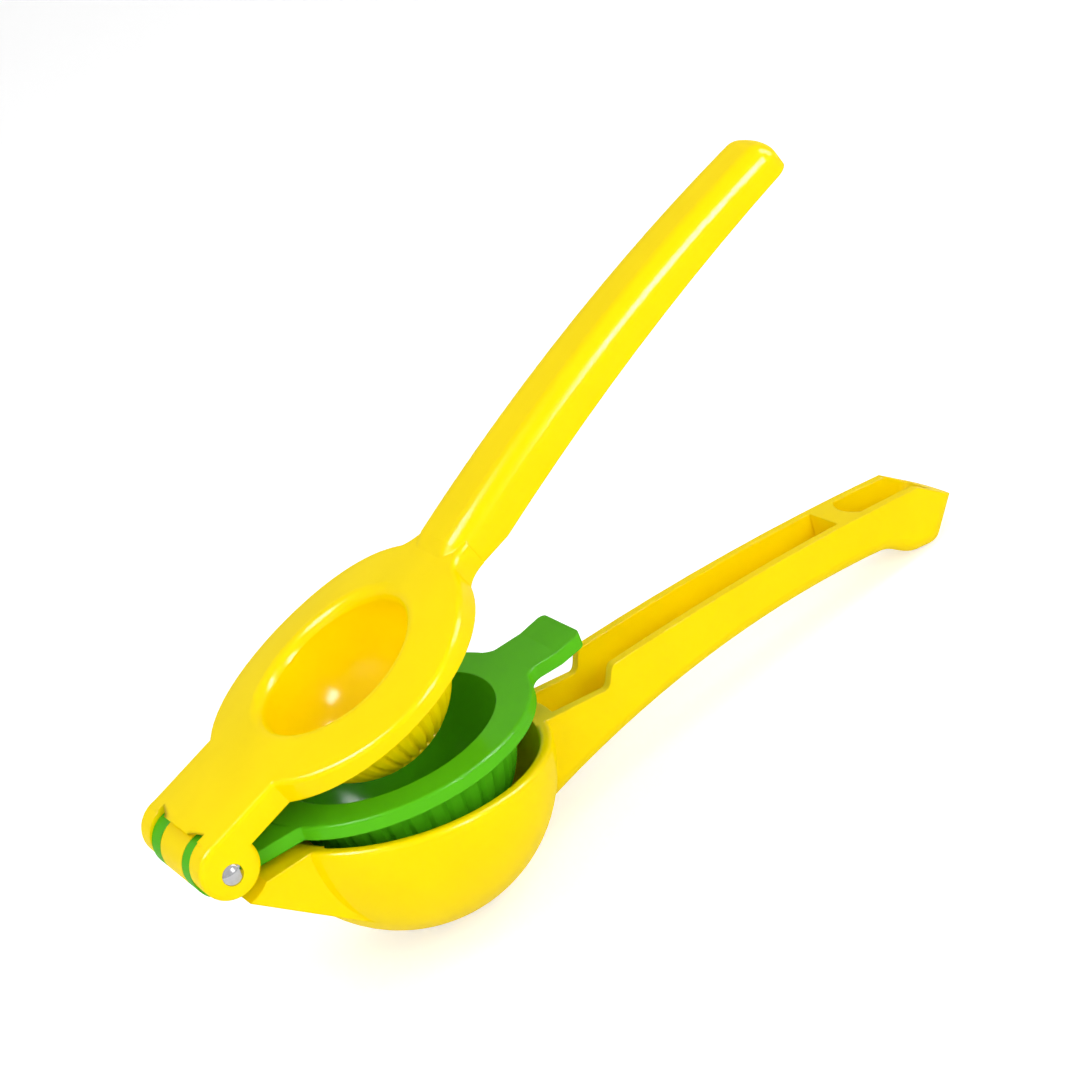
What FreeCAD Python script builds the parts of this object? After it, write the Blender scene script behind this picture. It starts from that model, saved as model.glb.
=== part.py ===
import FreeCAD, Part
import math
import os

# A hinged hand squeezer for lemons and limes, in millimetres.
# Every casting is drawn closed, in the hinge frame: the hinge axis is Y through
# the origin, +X runs to the handles and +Z is up, square to the bowl's rim.
# The castings are then swung open and the whole tool is set down on a table.

Vector = FreeCAD.Vector
UP = Vector(0, 0, 1)
ALONG_HINGE = Vector(0, 1, 0)
HINGE = Vector(0, 0, 0)

# Overall layout
bowl_centre = 53.8
rim_height = -4.3
insert_open = 6.6
press_open = 24.4
stack_gap = 0.3
overcut = 5.0

# Lemon bowl
bowl_radius = 35.3
bowl_wall = 3.4
bowl_lip = 1.2

# Drain holes: one in the middle, then rings around it
lemon_hole = 3.9
lemon_hole_pitch = 8.0
lime_hole = 3.4
lime_hole_pitch = 6.6
hole_rings = 2
first_ring_count = 6

# Lower handle
handle_wall = 2.4
handle_floor = 2.6
root_half_width = 10.8
tip_half_width = 8.7
wall_draft = 0.06
tip_bulge = 1.8
tip_corner = 4.8
lower_tip_reach = 223.6
tip_lean = 0.62
top_crest_x = 214.0
top_crest_z = 8.5
top_radius = 730.0
bottom_crest_x = 192.0
bottom_crest_z = -4.9
bottom_radius = 260.0
bottom_rounding = 4.0
heel_start = 196.5
heel_length = 13.0
heel_drop = 4.5
heel_pull = 0.45
heel_touch = 1.5
notch_start = 108.6
notch_length = 4.9
notch_pull = 0.6
pocket_gap = 2.3

# Hinge
pin_radius = 2.75
pin_running_gap = 0.05
pin_dome = 1.3
hinge_half_width = 19.4
lug_radius = 7.8
lug_forward = 0.5
lug_rise = 1.2
lug_inner_face = 12.6
knuckle_radius = 7.8
centre_knuckle_half = 6.7
side_gap = 0.2
sweep_gap = 0.45
cradle_half_width = 18.2
arm_dip = 1.5
arm_dip_start = 19.4
arm_dip_end = 8.0
cradle_end_z = -7.9
cradle_bowl_x = 30.0
cradle_bowl_z = -28.9

# Flutes on the lime bowl and on the press's dome
flute_count = 36
flute_end_angle = 55.0
lime_flute_width = 2.5
lime_flute_depth = 0.9
dome_flute_width = 2.0
dome_flute_depth = 0.75

# Lime insert
flange_thickness = 3.7
flange_radius = 37.5
mouth_radius = 28.25
insert_wall = 2.1
flange_rounding = 0.7
insert_arm_half = 15.9
tab_end = 107.2
tab_bend = 99.5
tab_lift = 1.4
tab_neck_half = 9.4
tab_end_half = 9.9
tab_corner = 2.0
tab_neck_radius = 5.0
arm_flare = 4.0

# Press
press_bottom = 2.0
press_top = 9.7
press_radius_x = 37.4
press_radius_y = 39.3
crown_radius = 206.0
dome_radius = 25.0
dome_wall = 3.0
dimple_mouth_rise = 4.0
dimple_lip = 3.0
press_rounding = 1.3
press_tip_reach = 222.1
press_handle_root = 10.6
press_handle_tip = 9.0
press_crest_x = 205.0
press_crest_z = 22.9
press_top_radius = 558.0
press_under_crest_x = 226.0
press_under_crest_z = 13.6
press_under_radius = 640.0
press_neck_radius = 9.0
press_ramp = 14.0
press_root_step = 2.0
press_handle_floor = 4.1
press_top_rounding = 5.2


def arc(a, b, c):
    """An arc edge through three points of the XZ plane."""
    return Part.Arc(*[Vector(p[0], 0, p[1]) for p in (a, b, c)]).toShape()


def line(a, b):
    """A straight edge between two points of the XZ plane."""
    return Part.makeLine(Vector(a[0], 0, a[1]), Vector(b[0], 0, b[1]))


def s_bend(a, b, pull):
    """A smooth step from a to b that leaves and arrives level."""
    curve = Part.BezierCurve()
    poles = [a, (a[0] + pull, a[1]), (b[0] - pull, b[1]), b]
    curve.setPoles([Vector(p[0], 0, p[1]) for p in poles])
    return curve.toShape()


def on_circle(x, crest_x, crest_z, radius):
    """Height of a hump of the given radius whose crest is known."""
    return crest_z - radius + math.sqrt(radius ** 2 - (x - crest_x) ** 2)


def hump(x_from, x_to, crest_x, crest_z, radius):
    """An arc edge along a hump, and its two ends."""
    xs = [x_from, (x_from + x_to) / 2, x_to]
    ends = [(x, on_circle(x, crest_x, crest_z, radius)) for x in xs]
    return arc(*ends), ends[0], ends[2]


def side_prism(edges, half_width):
    """A side view in the XZ plane, made as wide as twice half_width."""
    face = Part.Face(Part.Wire(Part.__sortEdges__(edges)))
    face.translate(Vector(0, -half_width, 0))
    return face.extrude(Vector(0, 2 * half_width, 0))


def polygon_prism(points, half_width):
    """A side view with straight sides."""
    edges = [line(points[i - 1], points[i]) for i in range(len(points))]
    return side_prism(edges, half_width)


def neck(bulge, half_width, blend, low, high):
    """A piece that widens a bar of the given half width into a round plate with hollow blends."""
    side = half_width + blend
    end = bowl_centre + math.sqrt((bulge + blend) ** 2 - side ** 2)
    widest = bulge * side / (bulge + blend)
    body = Part.makeBox(end - bowl_centre, 2 * widest, high - low,
                        Vector(bowl_centre, -widest, low))
    return body.cut([upright(blend, low, high, end, side), upright(blend, low, high, end, -side)])


def plan_prism(points, low, high):
    """A symmetric plan given by its +Y half, as tall as from low to high."""
    mirrored = [Vector(p.x, -p.y, 0) for p in reversed(points)]
    outline = Part.Face(Part.makePolygon(points + mirrored + [points[0]]))
    outline.translate(Vector(0, 0, low))
    return outline.extrude(Vector(0, 0, high - low))


def across(radius, low, high, x=0.0, z=0.0):
    """A cylinder along the hinge's direction from y = low to y = high."""
    return Part.makeCylinder(radius, high - low, Vector(x, low, z), ALONG_HINGE)


def upright(radius, low, high, x=bowl_centre, y=0.0):
    """A cylinder along Z."""
    return Part.makeCylinder(radius, high - low, Vector(x, y, low), UP)


def flat_face(points):
    """A flat face with the given corners."""
    return Part.Face(Part.makePolygon(points + [points[0]]))


def tapered_block(low, high, start, end, half_width, slope, draft):
    """A block with six flat sides that narrows towards its end and towards its foot."""
    rings = []
    for z in (low, high):
        near = half_width - draft * (high - z)
        far = near - slope * (end - start)
        rings.append([Vector(start, -near, z), Vector(end, -far, z),
                      Vector(end, far, z), Vector(start, near, z)])
    foot, head = rings
    faces = [flat_face(foot), flat_face(head)]
    for i in range(len(foot)):
        faces.append(flat_face([foot[i - 1], foot[i], head[i], head[i - 1]]))
    return Part.Solid(Part.Shell(faces))


def bar(low, high, start, reach, root_half, tip_half, corner, draft=0.0, lean=0.0):
    """A tapered bar with a bulged tip and rounded corners; its sizes are at its upper end."""
    slope = (root_half - tip_half) / (reach - tip_bulge - start)
    block = tapered_block(low, high, start, reach + overcut, root_half, slope, draft)
    bulge = (tip_half ** 2 + tip_bulge ** 2) / (2 * tip_bulge)
    axis = Vector(lean, 0, 1)
    height = (high - low) * axis.Length
    foot = Vector(reach - bulge - lean * (high - low), 0, low)
    end = Part.makeCylinder(bulge, height + 2 * overcut, foot - axis.normalize() * overcut, axis)
    rest = Part.makeBox(foot.x - start, 2 * root_half, high - low, Vector(start, -root_half, low))
    body = block.common(end.fuse(rest)).removeSplitter()
    tip = reach - lean * (high - low) - bulge / 2
    corners = [edge for edge in body.Edges
               if edge.BoundBox.XMax > tip and edge.BoundBox.ZLength > (high - low) / 2]
    return body.makeFillet(corner, corners)


# Limits used to pick faces by their direction
level_tolerance = 0.02
mostly_upright = 0.6


def faces_towards(shape, direction):
    """Faces that run straight across and whose normal is mostly up (1) or down (-1)."""
    found = []
    for face in shape.Faces:
        low_u, high_u, low_v, high_v = face.ParameterRange
        normal = face.normalAt((low_u + high_u) / 2, (low_v + high_v) / 2)
        if abs(normal.y) < level_tolerance and normal.z * direction > mostly_upright:
            found.append(face)
    return found


def upright_edges(shape, beyond_x):
    """Straight edges along Z that lie beyond a given x."""
    found = []
    for edge in shape.Edges:
        box = edge.BoundBox
        if box.XMin > beyond_x and box.XLength + box.YLength < level_tolerance:
            found.append(edge)
    return found


def rim_edges(shape, above_z, beyond_x):
    """The outer edges of a plate's top, beyond a given x."""
    return [edge for edge in border(faces_towards(shape, 1), beyond_x)
            if edge.BoundBox.ZMin > above_z and edge.BoundBox.XMin > beyond_x]


def border(faces, beyond_x):
    """Edges that belong to just one of the faces and lie beyond a given x."""
    edges = [edge for face in faces for edge in face.Edges]
    found = []
    for edge in edges:
        shared = sum(1 for other in edges if other.isSame(edge))
        if shared == 1 and edge.BoundBox.XMax > beyond_x:
            found.append(edge)
    return found


def drain_holes(size, pitch, top, bottom):
    """Round holes in rings of six, twelve and so on around one in the middle."""
    holes = [upright(size / 2, bottom, top)]
    for ring in range(1, hole_rings + 1):
        count = first_ring_count * ring
        for i in range(count):
            turn = 2 * math.pi * i / count
            x = bowl_centre + ring * pitch * math.cos(turn)
            y = ring * pitch * math.sin(turn)
            holes.append(upright(size / 2, bottom, top, x, y))
    return holes


def lower_handle_outside():
    """The lower handle without its channel, from inside the bowl's wall to the tip."""
    start = bowl_centre + bowl_radius - bowl_wall
    beyond = lower_tip_reach + overcut
    notch_end = notch_start + notch_length
    top, top_start, top_end = hump(notch_end, beyond, top_crest_x, top_crest_z, top_radius)
    under, under_start, under_end = hump(start, heel_start, bottom_crest_x,
                                         bottom_crest_z, bottom_radius)
    heel_end = (heel_start + heel_length, under_end[1] - heel_drop)
    far_corner = (beyond, heel_end[1])
    edges = [line((start, rim_height), (notch_start, rim_height)),
             s_bend((notch_start, rim_height), top_start, notch_length * notch_pull),
             top,
             line(top_end, far_corner),
             line(far_corner, heel_end),
             s_bend(under_end, heel_end, heel_length * heel_pull),
             under,
             line(under_start, (start, rim_height))]
    side = side_prism(edges, 2 * root_half_width)
    outer = bar(under_start[1], top_crest_z, start, lower_tip_reach, root_half_width,
                tip_half_width, tip_corner, wall_draft, tip_lean)
    body = side.common(outer).Solids[0]
    return body.makeFillet(bottom_rounding, border(faces_towards(body, -1), start + overcut))


def lower_channel():
    """The trough inside the lower handle."""
    start = bowl_centre + bowl_radius
    floor, floor_start, floor_end = hump(start, lower_tip_reach, bottom_crest_x,
                                         bottom_crest_z + handle_floor,
                                         bottom_radius + handle_floor)
    ceiling = top_crest_z + overcut
    edges = [floor,
             line(floor_end, (lower_tip_reach, ceiling)),
             line((lower_tip_reach, ceiling), (start, ceiling)),
             line((start, ceiling), floor_start)]
    side = side_prism(edges, root_half_width)
    low = floor_start[1]
    widest = bar(low, ceiling, start, lower_tip_reach - handle_wall,
                 root_half_width - handle_wall, tip_half_width - handle_wall,
                 tip_corner - handle_wall, wall_draft, tip_lean)
    bowl_skirt = upright(bowl_radius + bowl_wall + pocket_gap, low - overcut, ceiling + overcut)
    return side.common(widest).cut(bowl_skirt)


def lug_reach():
    """Furthest point of a press lug from the hinge axis."""
    return lug_radius + math.hypot(lug_forward, lug_rise)


def dip_bottom_height():
    """Height of the lower casting under the dipped arm of the insert."""
    return rim_height - arm_dip - side_gap


def arm_relief():
    """What is taken off the bowl's rim so that the insert's dipped arm clears it."""
    ceiling = rim_height + overcut
    dip = dip_bottom_height()
    return polygon_prism([(0, dip), (arm_dip_end, dip), (arm_dip_start, rim_height),
                          (arm_dip_start, ceiling), (0, ceiling)], hinge_half_width)


def lower_cradle():
    """The arm between bowl and hinge, which cradles the lugs from below."""
    inside_bowl = bowl_centre - bowl_radius / 2
    dip_bottom = dip_bottom_height()
    points = [(0, cradle_end_z), (0, dip_bottom), (arm_dip_end, dip_bottom),
              (arm_dip_start, rim_height), (inside_bowl, rim_height),
              (inside_bowl, cradle_bowl_z), (cradle_bowl_x, cradle_bowl_z)]
    wide = polygon_prism(points, cradle_half_width)
    sweep = lug_reach() + sweep_gap
    wide = wide.cut(across(sweep, -hinge_half_width, hinge_half_width))
    web = polygon_prism(points, centre_knuckle_half)
    knuckle = across(knuckle_radius, -centre_knuckle_half, centre_knuckle_half)
    return wide.fuse([web, knuckle])


def lemon_bowl():
    """The lower casting: lemon bowl, channel handle and centre knuckle."""
    outside = bowl_radius + bowl_wall
    middle = Vector(bowl_centre, 0, rim_height)
    inside = Part.makeSphere(bowl_radius, middle)
    ball = Part.makeSphere(outside, middle, UP, -90, 0, 360).cut(inside)
    lip = [edge for edge in ball.Edges if edge.BoundBox.ZLength < level_tolerance]
    ball = ball.makeFillet(bowl_lip, lip).cut(arm_relief())
    arms = lower_handle_outside().fuse(lower_cradle()).cut(inside)
    body = ball.fuse(arms)
    body = body.cut(upright(bowl_radius, rim_height, top_crest_z + overcut))
    body = body.cut(lower_channel())
    body = body.cut(drain_holes(lemon_hole, lemon_hole_pitch, rim_height - bowl_radius / 2,
                                rim_height - outside - overcut))
    bore = pin_radius + pin_running_gap
    body = body.cut(across(bore, -hinge_half_width, hinge_half_width))
    return body.removeSplitter()


def insert_outside():
    """The insert's flange, arm and tab, still without its bowl."""
    top = rim_height + stack_gap + flange_thickness
    bottom = rim_height + stack_gap
    plate = upright(flange_radius, bottom, top)
    dip = [(arm_dip_start, top), (arm_dip_end, top - arm_dip), (0, top - arm_dip),
           (0, bottom - arm_dip), (arm_dip_end, bottom - arm_dip), (arm_dip_start, bottom),
           (bowl_centre, bottom), (bowl_centre, top)]
    arm = polygon_prism(dip, flange_radius)
    knuckle_outer = lug_inner_face - side_gap
    plan = [Vector(0, knuckle_outer, 0), Vector(arm_dip_end, knuckle_outer, 0),
            Vector(arm_dip_start, insert_arm_half, 0),
            Vector(bowl_centre - mouth_radius, insert_arm_half + arm_flare, 0)]
    arm = arm.common(plan_prism(plan, bottom - overcut, top + overcut))
    tab_side = [(bowl_centre, bottom), (tab_bend, bottom), (tab_end, bottom + tab_lift),
                (tab_end, top + tab_lift), (tab_bend, top), (bowl_centre, top)]
    tab_plan = [Vector(bowl_centre, tab_neck_half, 0),
                Vector(bowl_centre + flange_radius, tab_neck_half, 0),
                Vector(tab_end, tab_end_half, 0)]
    outline = plan_prism(tab_plan, bottom - overcut, top + overcut)
    outline = outline.makeFillet(tab_corner, upright_edges(outline, tab_bend))
    tab_solid = polygon_prism(tab_side, flange_radius).common(outline)
    tab_neck = neck(flange_radius, tab_neck_half, tab_neck_radius, bottom, top)
    knuckle = across(knuckle_radius, -knuckle_outer, knuckle_outer)
    web = polygon_prism([(0, top - arm_dip), (arm_dip_end, top - arm_dip),
                         (arm_dip_end, bottom - arm_dip), (0, bottom - arm_dip)], knuckle_outer)
    flat = plate.fuse([arm, tab_solid, tab_neck]).removeSplitter()
    round_edges = [edge for edge in rim_edges(flat, top - arm_dip, arm_dip_end)
                   if bowl_centre < edge.BoundBox.XMax < bowl_centre + flange_radius]
    flat = flat.makeFillet(flange_rounding, round_edges)
    return flat.fuse([knuckle, web])


def fluted_ball(radius, level, flute_width, flute_depth):
    """A half ball below the given level with flutes of V section that run down it."""
    middle = Vector(bowl_centre, 0, level)
    corners = [(radius - flute_depth, 0), (radius + flute_depth, flute_width),
               (radius + flute_depth, -flute_width), (radius - flute_depth, 0)]
    section = Part.makePolygon([middle + Vector(x, y, 0) for x, y in corners])
    flute = Part.Face(section).revolve(middle, ALONG_HINGE, flute_end_angle)
    flutes = []
    for i in range(flute_count):
        copy = flute.copy()
        copy.rotate(middle, UP, (i + 0.5) * 360 / flute_count)
        flutes.append(copy)
    return Part.makeSphere(radius, middle, UP, -90, 0, 360).cut(flutes)


def cup(radius, level, top):
    """A half ball below the given level with a straight mouth up to top."""
    ball = Part.makeSphere(radius, Vector(bowl_centre, 0, level), UP, -90, 0, 360)
    return ball.fuse(upright(radius, level, top))


def lime_insert():
    """The green insert: flange, lime bowl, two knuckles and a finger tab."""
    bottom = rim_height + stack_gap
    top = bottom + flange_thickness
    outside = mouth_radius + insert_wall
    body = insert_outside().fuse(upright(outside, bottom, top))
    body = body.fuse(fluted_ball(outside, bottom, lime_flute_width, lime_flute_depth))
    body = body.cut(cup(mouth_radius, bottom, top + overcut))
    clear = knuckle_radius + sweep_gap
    middle_gap = centre_knuckle_half + side_gap
    body = body.cut(across(clear, -middle_gap, middle_gap))
    body = body.cut(across(pin_radius + pin_running_gap, -hinge_half_width, hinge_half_width))
    body = body.cut(drain_holes(lime_hole, lime_hole_pitch, bottom - outside / 2,
                                bottom - outside - overcut))
    return body.removeSplitter()


def press_handle_outside():
    """The press handle without its underside channel."""
    start = bowl_centre + dome_radius
    beyond = press_tip_reach + overcut
    ramp_end = start + press_ramp
    top, top_start, top_end = hump(ramp_end, beyond, press_crest_x, press_crest_z,
                                   press_top_radius)
    under, under_start, under_end = hump(ramp_end, beyond, press_under_crest_x,
                                         press_under_crest_z, press_under_radius)
    root_top = (start, press_bottom + press_root_step)
    edges = [line((start, press_bottom), under_start), under, line(under_end, top_end), top,
             line(top_start, root_top), line(root_top, (start, press_bottom))]
    side = side_prism(edges, 2 * press_handle_root)
    outer = bar(press_bottom, press_crest_z, start, press_tip_reach, press_handle_root,
                press_handle_tip, tip_corner)
    body = side.common(outer).Solids[0]
    return body.makeFillet(press_top_rounding, border(faces_towards(body, 1), start + overcut))


def press_channel():
    """The hollow under the press handle."""
    start = bowl_centre + press_radius_x + handle_wall
    beyond = press_tip_reach + overcut
    under, under_start, under_end = hump(start, beyond, press_crest_x,
                                         press_crest_z - press_handle_floor, press_top_radius)
    floor = press_bottom - overcut
    edges = [under, line(under_end, (beyond, floor)), line((beyond, floor), (start, floor)),
             line((start, floor), under_start)]
    side = side_prism(edges, 2 * press_handle_root)
    return side.common(bar(floor, press_crest_z, start, press_tip_reach - handle_wall,
                           press_handle_root - handle_wall, press_handle_tip - handle_wall,
                           tip_corner - handle_wall))


def dimple_radius():
    """Inside radius of the hollow dome."""
    return dome_radius - dome_wall


def across_x(edge):
    """Whether an edge lies in one plane square to the handle."""
    return edge.BoundBox.XLength < level_tolerance


def near_dimple(edge, reach):
    """True for an edge within a given reach of the dimple's middle, along the tool."""
    box = edge.BoundBox
    return box.XMin > bowl_centre - reach and box.XMax < bowl_centre + reach


def open_dimple(plate):
    """Cuts the dimple's mouth through the plate and rounds its top edge."""
    floor = press_bottom + dimple_mouth_rise
    mouth = math.sqrt(dimple_radius() ** 2 - dimple_mouth_rise ** 2)
    plate = plate.cut(upright(mouth, floor, press_top + overcut))
    brim = [edge for edge in border(faces_towards(plate, 1), 0)
            if near_dimple(edge, mouth + side_gap) and edge.BoundBox.ZMin > floor + side_gap]
    return plate.makeFillet(dimple_lip, brim)


def press_flange():
    """The crowned oval plate with its two arms to the hinge."""
    height = press_top - press_bottom
    longer = max(press_radius_x, press_radius_y)
    oval = Part.Ellipse(HINGE, longer, min(press_radius_x, press_radius_y)).toShape()
    plate = Part.Face(Part.Wire([oval])).extrude(Vector(0, 0, 2 * height))
    if longer == press_radius_y:
        plate.rotate(HINGE, UP, 90)
    plate.translate(Vector(bowl_centre, 0, press_bottom))
    arms = Part.makeBox(bowl_centre - dome_radius, 2 * hinge_half_width, 2 * height,
                        Vector(0, -hinge_half_width, press_bottom))
    crown_axis = Vector(-overcut, 0, press_top - crown_radius)
    crown = Part.makeCylinder(crown_radius, 2 * bowl_centre + press_radius_x, crown_axis,
                              Vector(1, 0, 0))
    crown.rotate(crown_axis, Vector(1, 0, 0), 180)
    blend = neck(press_radius_x, press_handle_root, press_neck_radius, press_bottom,
                 press_bottom + 2 * height)
    plate = plate.fuse([arms, blend]).removeSplitter().common(crown)
    plate = open_dimple(plate)
    rim = [edge for edge in border(faces_towards(plate, 1), 0)
           if not across_x(edge) and not near_dimple(edge, dimple_radius() + dimple_lip)]
    return plate.makeFillet(press_rounding, rim)


def press():
    """The upper casting: oval plate, dome, two lugs and the press handle."""
    middle = Vector(bowl_centre, 0, press_bottom)
    body = press_flange().fuse(press_handle_outside())
    lugs = across(lug_radius, -hinge_half_width, hinge_half_width, lug_forward, lug_rise)
    lug_rims = [edge for edge in lugs.Edges if edge.BoundBox.YLength < level_tolerance]
    body = body.fuse(lugs.makeFillet(press_rounding, lug_rims))
    body = body.fuse(fluted_ball(dome_radius, press_bottom, dome_flute_width, dome_flute_depth))
    body = body.cut(Part.makeSphere(dimple_radius(), middle))
    sweep = lug_reach() + sweep_gap
    body = body.cut(across(sweep, -lug_inner_face, lug_inner_face))
    body = body.cut(across(pin_radius, -hinge_half_width, hinge_half_width))
    return body.cut(press_channel())


def hinge_pin():
    """The steel pin with a domed end on each side."""
    shaft = across(pin_radius, -hinge_half_width, hinge_half_width)
    ball_radius = (pin_radius ** 2 + pin_dome ** 2) / (2 * pin_dome)
    ends = []
    for side in (-1, 1):
        centre = Vector(0, side * (hinge_half_width + pin_dome - ball_radius), 0)
        ball = Part.makeSphere(ball_radius, centre)
        low = hinge_half_width if side > 0 else -hinge_half_width - pin_dome
        ends.append(ball.common(across(pin_radius, low, low + pin_dome)))
    return shaft.fuse(ends).removeSplitter()


def stance_angle():
    """Tilt at which the bowl and the heel both touch the table."""
    outside = bowl_radius + bowl_wall
    heel_z = bottom_crest_z - heel_drop
    run = heel_start + heel_length + heel_touch - bowl_centre
    fall = rim_height - heel_z
    reach = math.hypot(run, fall)
    return math.degrees(math.asin(outside / reach) - math.atan2(fall, run))


def swing(shape, angle):
    """Opens a casting by an angle about the hinge."""
    shape.rotate(HINGE, ALONG_HINGE, -angle)
    return shape


def set_down(shape):
    """Tilts a piece to the table stance and puts the bowl's lowest point at the origin."""
    tilt = stance_angle()
    outside = bowl_radius + bowl_wall
    shape.rotate(HINGE, ALONG_HINGE, tilt)
    lean = math.radians(tilt)
    middle_x = bowl_centre * math.cos(lean) + rim_height * math.sin(lean)
    middle_z = -bowl_centre * math.sin(lean) + rim_height * math.cos(lean)
    shape.translate(Vector(-middle_x, 0, outside - middle_z))
    return shape


def main():
    """Builds every piece and writes it to its own file."""
    os.makedirs("parts", exist_ok=True)
    pieces = {
        "lemon_bowl": lemon_bowl(),
        "lime_insert": swing(lime_insert(), insert_open),
        "press": swing(press(), press_open),
        "hinge_pin": swing(hinge_pin(), press_open),
    }
    for name, shape in pieces.items():
        set_down(shape)
        shape.exportStep("parts/" + name + ".step")
        box = shape.BoundBox
        print(name, len(shape.Solids), shape.isValid(), round(shape.Volume), box)
    print("tilt", round(stance_angle(), 3))


main()
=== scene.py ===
import math

import bpy
from mathutils import Euler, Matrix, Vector


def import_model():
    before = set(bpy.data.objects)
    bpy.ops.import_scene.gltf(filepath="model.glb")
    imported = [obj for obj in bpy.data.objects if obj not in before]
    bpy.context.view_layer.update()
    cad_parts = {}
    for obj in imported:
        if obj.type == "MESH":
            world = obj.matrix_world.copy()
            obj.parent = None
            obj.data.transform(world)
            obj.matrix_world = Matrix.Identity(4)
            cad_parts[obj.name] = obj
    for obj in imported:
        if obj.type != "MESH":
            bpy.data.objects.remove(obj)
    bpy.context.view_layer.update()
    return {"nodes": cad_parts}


# Camera: where the photograph was taken from, in metres and degrees
CAMERA_PLACE = (-0.15180, -0.62130, 0.38140)
CAMERA_TURN = (61.4514, 25.3183, -31.9664)
CAMERA_LENS = 97.98
CAMERA_SENSOR = 36.0
CAMERA_CLIP = 0.01

# Floor: its size in metres, and the turn in degrees with which it touches both the bowl
# and the lower-hanging heel; then its roughness, and its glow for rays that see it
FLOOR_SIZE = 6.0
FLOOR_TURN = 0.29
FLOOR_ROUGHNESS = 0.9
FLOOR_LIFT = 0.5

# World: strength of the light on the object, and of what the camera and gloss see
WORLD_LIGHT = 0.5
WORLD_SEEN = 1.0
SEEN_KINDS = ("Is Camera Ray", "Is Glossy Ray", "Is Transmission Ray")

# Noise: scale in bumps per metre, and detail
ENAMEL_POOLING = (38.0, 3.0)
ENAMEL_PEEL = (420.0, 2.0)
STEEL_MARKS = (900.0, 3.0)
FLOOR_GRAIN = (55.0, 4.0)

# Shades: where on the noise, and by how much the colour is lighter or darker there
ENAMEL_SHADES = ((0.3, 0.96), (0.7, 1.03))
STEEL_SHADES = ((0.35, 0.93), (0.65, 1.05))
FLOOR_SHADES = ((0.3, 0.80), (0.7, 0.82))

# Enamel and steel: coat and roughness; edge radius and relief depth are in metres
COAT_WEIGHT = 0.15
COAT_ROUGHNESS = 0.15
ENAMEL_EDGE = 0.0006
PEEL_DEPTH = 0.000003
STEEL_ROUGHNESS = 0.09
STEEL_EDGE = 0.0003
MARK_DEPTH = 0.000006
EDGE_SAMPLES = 4

# Colours, linear
YELLOW = (0.98, 0.73, 0.0)
GREEN = (0.094, 0.49, 0.008)
STEEL = (0.42, 0.42, 0.43)
WHITE = (1.0, 1.0, 1.0)

# Where the soft boxes point
LIT_MIDDLE = Vector((0.03, 0.0, 0.05))

# Soft boxes: azimuth from +Y towards +X and elevation in degrees, distance, width and
# height in metres, power of the light in watts, and power of what gloss shows
SOFT_BOXES = {
    "top_box": (-85.0, 62.0, 0.95, 0.46, 0.42, 2.2, 60.0),
    "right_box": (108.0, 32.0, 0.95, 0.26, 0.74, 2.0, 60.0),
    "front_box": (161.0, 25.0, 1.00, 0.30, 0.42, 2.9, 40.0),
    "left_fill": (-135.0, 18.0, 1.00, 0.60, 0.50, 3.0, 3.0),
}


def new_material(name):
    """A node material with its shader and its output, ready to be wired."""
    material = bpy.data.materials.new(name)
    material.use_nodes = True
    tree = material.node_tree
    tree.nodes.clear()
    output = tree.nodes.new("ShaderNodeOutputMaterial")
    shader = tree.nodes.new("ShaderNodeBsdfPrincipled")
    tree.links.new(shader.outputs["BSDF"], output.inputs["Surface"])
    return material, tree, shader


def noise(tree, kind):
    """A noise texture in object space."""
    scale, detail = kind
    place = tree.nodes.new("ShaderNodeTexCoord")
    texture = tree.nodes.new("ShaderNodeTexNoise")
    texture.inputs["Scale"].default_value = scale
    texture.inputs["Detail"].default_value = detail
    tree.links.new(place.outputs["Object"], texture.inputs["Vector"])
    return texture.outputs["Fac"]


def shaded(colour, factor):
    """A colour made lighter or darker."""
    return tuple(min(1.0, channel * factor) for channel in colour)


def tint(tree, source, colour, shades):
    """A colour that runs between two shades of itself along a noise."""
    node = tree.nodes.new("ShaderNodeValToRGB")
    for element, (position, factor) in zip(node.color_ramp.elements, shades):
        element.position = position
        element.color = (*shaded(colour, factor), 1.0)
    tree.links.new(source, node.inputs["Fac"])
    return node.outputs["Color"]


def soft_edges(tree, radius):
    """Normals that round every sharp edge by a radius in metres."""
    node = tree.nodes.new("ShaderNodeBevel")
    node.samples = EDGE_SAMPLES
    node.inputs["Radius"].default_value = radius
    return node.outputs["Normal"]


def bump(tree, height, distance, normal):
    """Relief from a height, with its depth in metres, over the given normals."""
    node = tree.nodes.new("ShaderNodeBump")
    node.inputs["Distance"].default_value = distance
    tree.links.new(height, node.inputs["Height"])
    tree.links.new(normal, node.inputs["Normal"])
    return node.outputs["Normal"]


def enamel(name, colour):
    """Glossy baked enamel: faint pooling in its colour and a fine orange-peel surface."""
    material, tree, shader = new_material(name)
    pooling = tint(tree, noise(tree, ENAMEL_POOLING), colour, ENAMEL_SHADES)
    tree.links.new(pooling, shader.inputs["Base Color"])
    shader.inputs["Specular IOR Level"].default_value = 0.0
    shader.inputs["Coat Weight"].default_value = COAT_WEIGHT
    shader.inputs["Coat Roughness"].default_value = COAT_ROUGHNESS
    rounded = soft_edges(tree, ENAMEL_EDGE)
    peel = bump(tree, noise(tree, ENAMEL_PEEL), PEEL_DEPTH, rounded)
    tree.links.new(peel, shader.inputs["Normal"])
    tree.links.new(peel, shader.inputs["Coat Normal"])
    return material


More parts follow.
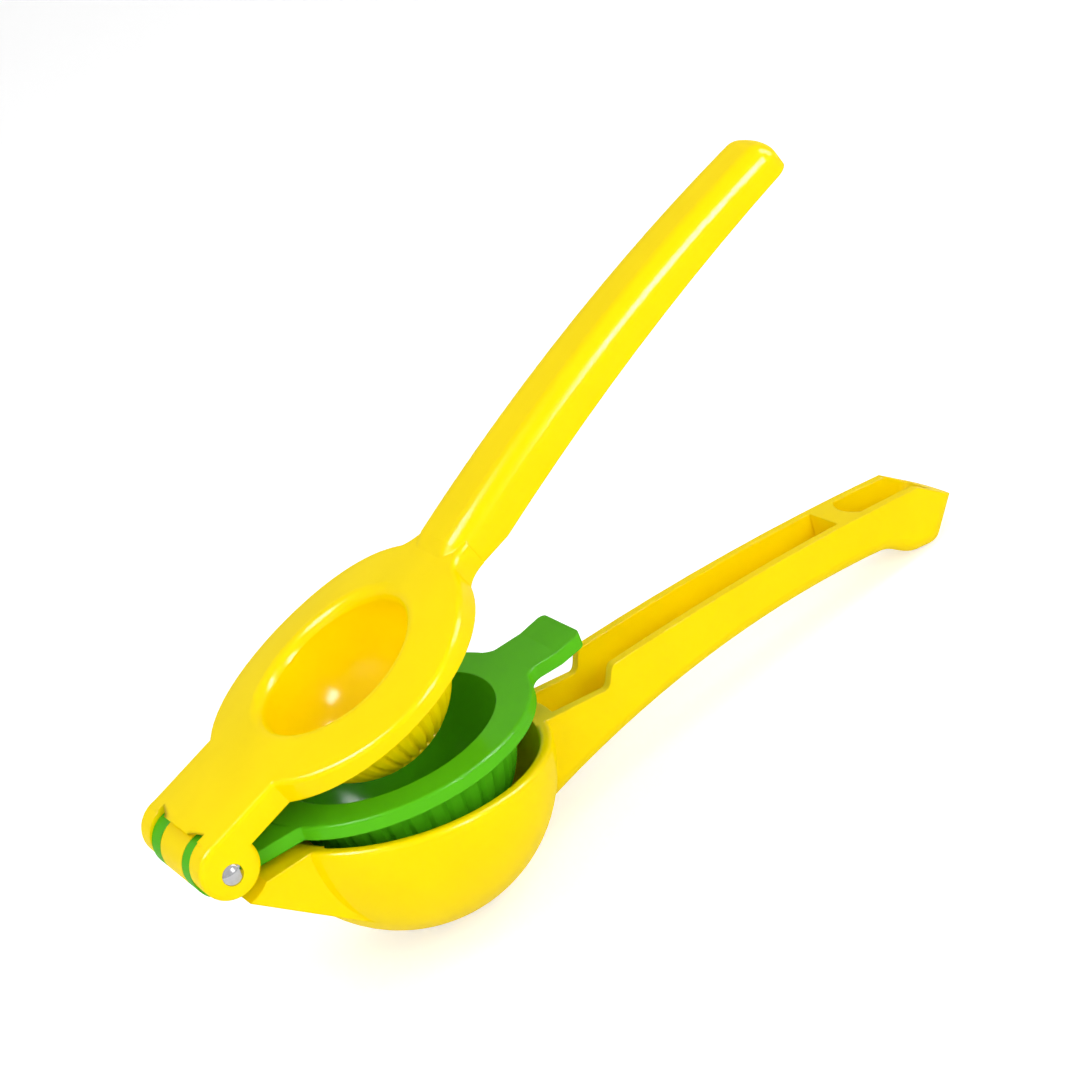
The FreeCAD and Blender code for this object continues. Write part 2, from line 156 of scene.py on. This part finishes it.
def steel(name, colour):
    """Polished steel with faint turning marks."""
    material, tree, shader = new_material(name)
    marks = noise(tree, STEEL_MARKS)
    tree.links.new(tint(tree, marks, colour, STEEL_SHADES), shader.inputs["Base Color"])
    shader.inputs["Metallic"].default_value = 1.0
    shader.inputs["Roughness"].default_value = STEEL_ROUGHNESS
    normal = bump(tree, marks, MARK_DEPTH, soft_edges(tree, STEEL_EDGE))
    tree.links.new(normal, shader.inputs["Normal"])
    return material


def seen_rays(tree):
    """One for rays that the camera or gloss sees, nought for light on the object."""
    path = tree.nodes.new("ShaderNodeLightPath")
    seen = path.outputs[SEEN_KINDS[0]]
    for kind in SEEN_KINDS[1:]:
        either = tree.nodes.new("ShaderNodeMath")
        either.operation = "MAXIMUM"
        tree.links.new(seen, either.inputs[0])
        tree.links.new(path.outputs[kind], either.inputs[1])
        seen = either.outputs[0]
    return seen


def floor_material():
    """A pale floor that looks white to the camera and in reflections, and keeps the shadow."""
    material, tree, shader = new_material("floor_paper")
    paper = tint(tree, noise(tree, FLOOR_GRAIN), WHITE, FLOOR_SHADES)
    tree.links.new(paper, shader.inputs["Base Color"])
    shader.inputs["Roughness"].default_value = FLOOR_ROUGHNESS
    shader.inputs["Specular IOR Level"].default_value = 0.0
    lift = tree.nodes.new("ShaderNodeMath")
    lift.operation = "MULTIPLY"
    lift.inputs[1].default_value = FLOOR_LIFT
    tree.links.new(seen_rays(tree), lift.inputs[0])
    tree.links.new(lift.outputs[0], shader.inputs["Emission Strength"])
    shader.inputs["Emission Color"].default_value = (*WHITE, 1.0)
    return material


def stage():
    """A wide plain floor under the object."""
    bpy.ops.mesh.primitive_plane_add(size=FLOOR_SIZE, location=(0.0, 0.0, 0.0))
    floor = bpy.context.object
    floor.name = "floor"
    floor.rotation_euler = (0.0, math.radians(FLOOR_TURN), 0.0)
    floor.data.materials.append(floor_material())


def background(tree, strength):
    """A white background shader of a given strength."""
    node = tree.nodes.new("ShaderNodeBackground")
    node.inputs["Color"].default_value = (*WHITE, 1.0)
    node.inputs["Strength"].default_value = strength
    return node.outputs[0]


def world():
    """White to the camera and in reflections, and a soft even light on the object."""
    scene_world = bpy.data.worlds.new("studio")
    bpy.context.scene.world = scene_world
    scene_world.use_nodes = True
    tree = scene_world.node_tree
    tree.nodes.clear()
    output = tree.nodes.new("ShaderNodeOutputWorld")
    mix = tree.nodes.new("ShaderNodeMixShader")
    tree.links.new(seen_rays(tree), mix.inputs["Fac"])
    tree.links.new(background(tree, WORLD_LIGHT), mix.inputs[1])
    tree.links.new(background(tree, WORLD_SEEN), mix.inputs[2])
    tree.links.new(mix.outputs[0], output.inputs["Surface"])


def lamp(name, place, turn, size, power, for_gloss):
    """A rectangular lamp that either lights the object or shows in its gloss."""
    data = bpy.data.lights.new(name, "AREA")
    data.shape = "RECTANGLE"
    data.size, data.size_y = size
    data.energy = power
    holder = bpy.data.objects.new(name, data)
    bpy.context.scene.collection.objects.link(holder)
    holder.location = place
    holder.rotation_euler = turn
    holder.visible_glossy = for_gloss
    holder.visible_diffuse = not for_gloss


def soft_box(name, azimuth, elevation, distance, width, height, power, gloss_power):
    """A soft box in a given direction from the object's middle."""
    turn = math.radians(azimuth)
    rise = math.radians(elevation)
    away = Vector((math.sin(turn) * math.cos(rise), math.cos(turn) * math.cos(rise), math.sin(rise)))
    place = LIT_MIDDLE + distance * away
    facing = away.to_track_quat("Z", "Y").to_euler()
    lamp(name, place, facing, (width, height), power, False)
    lamp(name + "_gloss", place, facing, (width, height), gloss_power, True)


def camera():
    """The camera at the photograph's place."""
    data = bpy.data.cameras.new("camera")
    data.sensor_width = CAMERA_SENSOR
    data.lens = CAMERA_LENS
    data.clip_start = CAMERA_CLIP
    holder = bpy.data.objects.new("camera", data)
    bpy.context.scene.collection.objects.link(holder)
    holder.location = CAMERA_PLACE
    holder.rotation_euler = Euler([math.radians(angle) for angle in CAMERA_TURN], "XYZ")
    bpy.context.scene.camera = holder


def dress(nodes):
    """Gives each CAD node its material."""
    yellow = enamel("yellow_enamel", YELLOW)
    finishes = {
        "lemon_bowl": yellow,
        "press": yellow,
        "lime_insert": enamel("green_enamel", GREEN),
        "hinge_pin": steel("polished_steel", STEEL),
    }
    for name, material in finishes.items():
        for slot in nodes[name].material_slots:
            slot.material = material


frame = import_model()
bpy.context.scene.view_settings.view_transform = "Standard"
dress(frame["nodes"])
stage()
world()
for box_name, settings in SOFT_BOXES.items():
    soft_box(box_name, *settings)
camera()
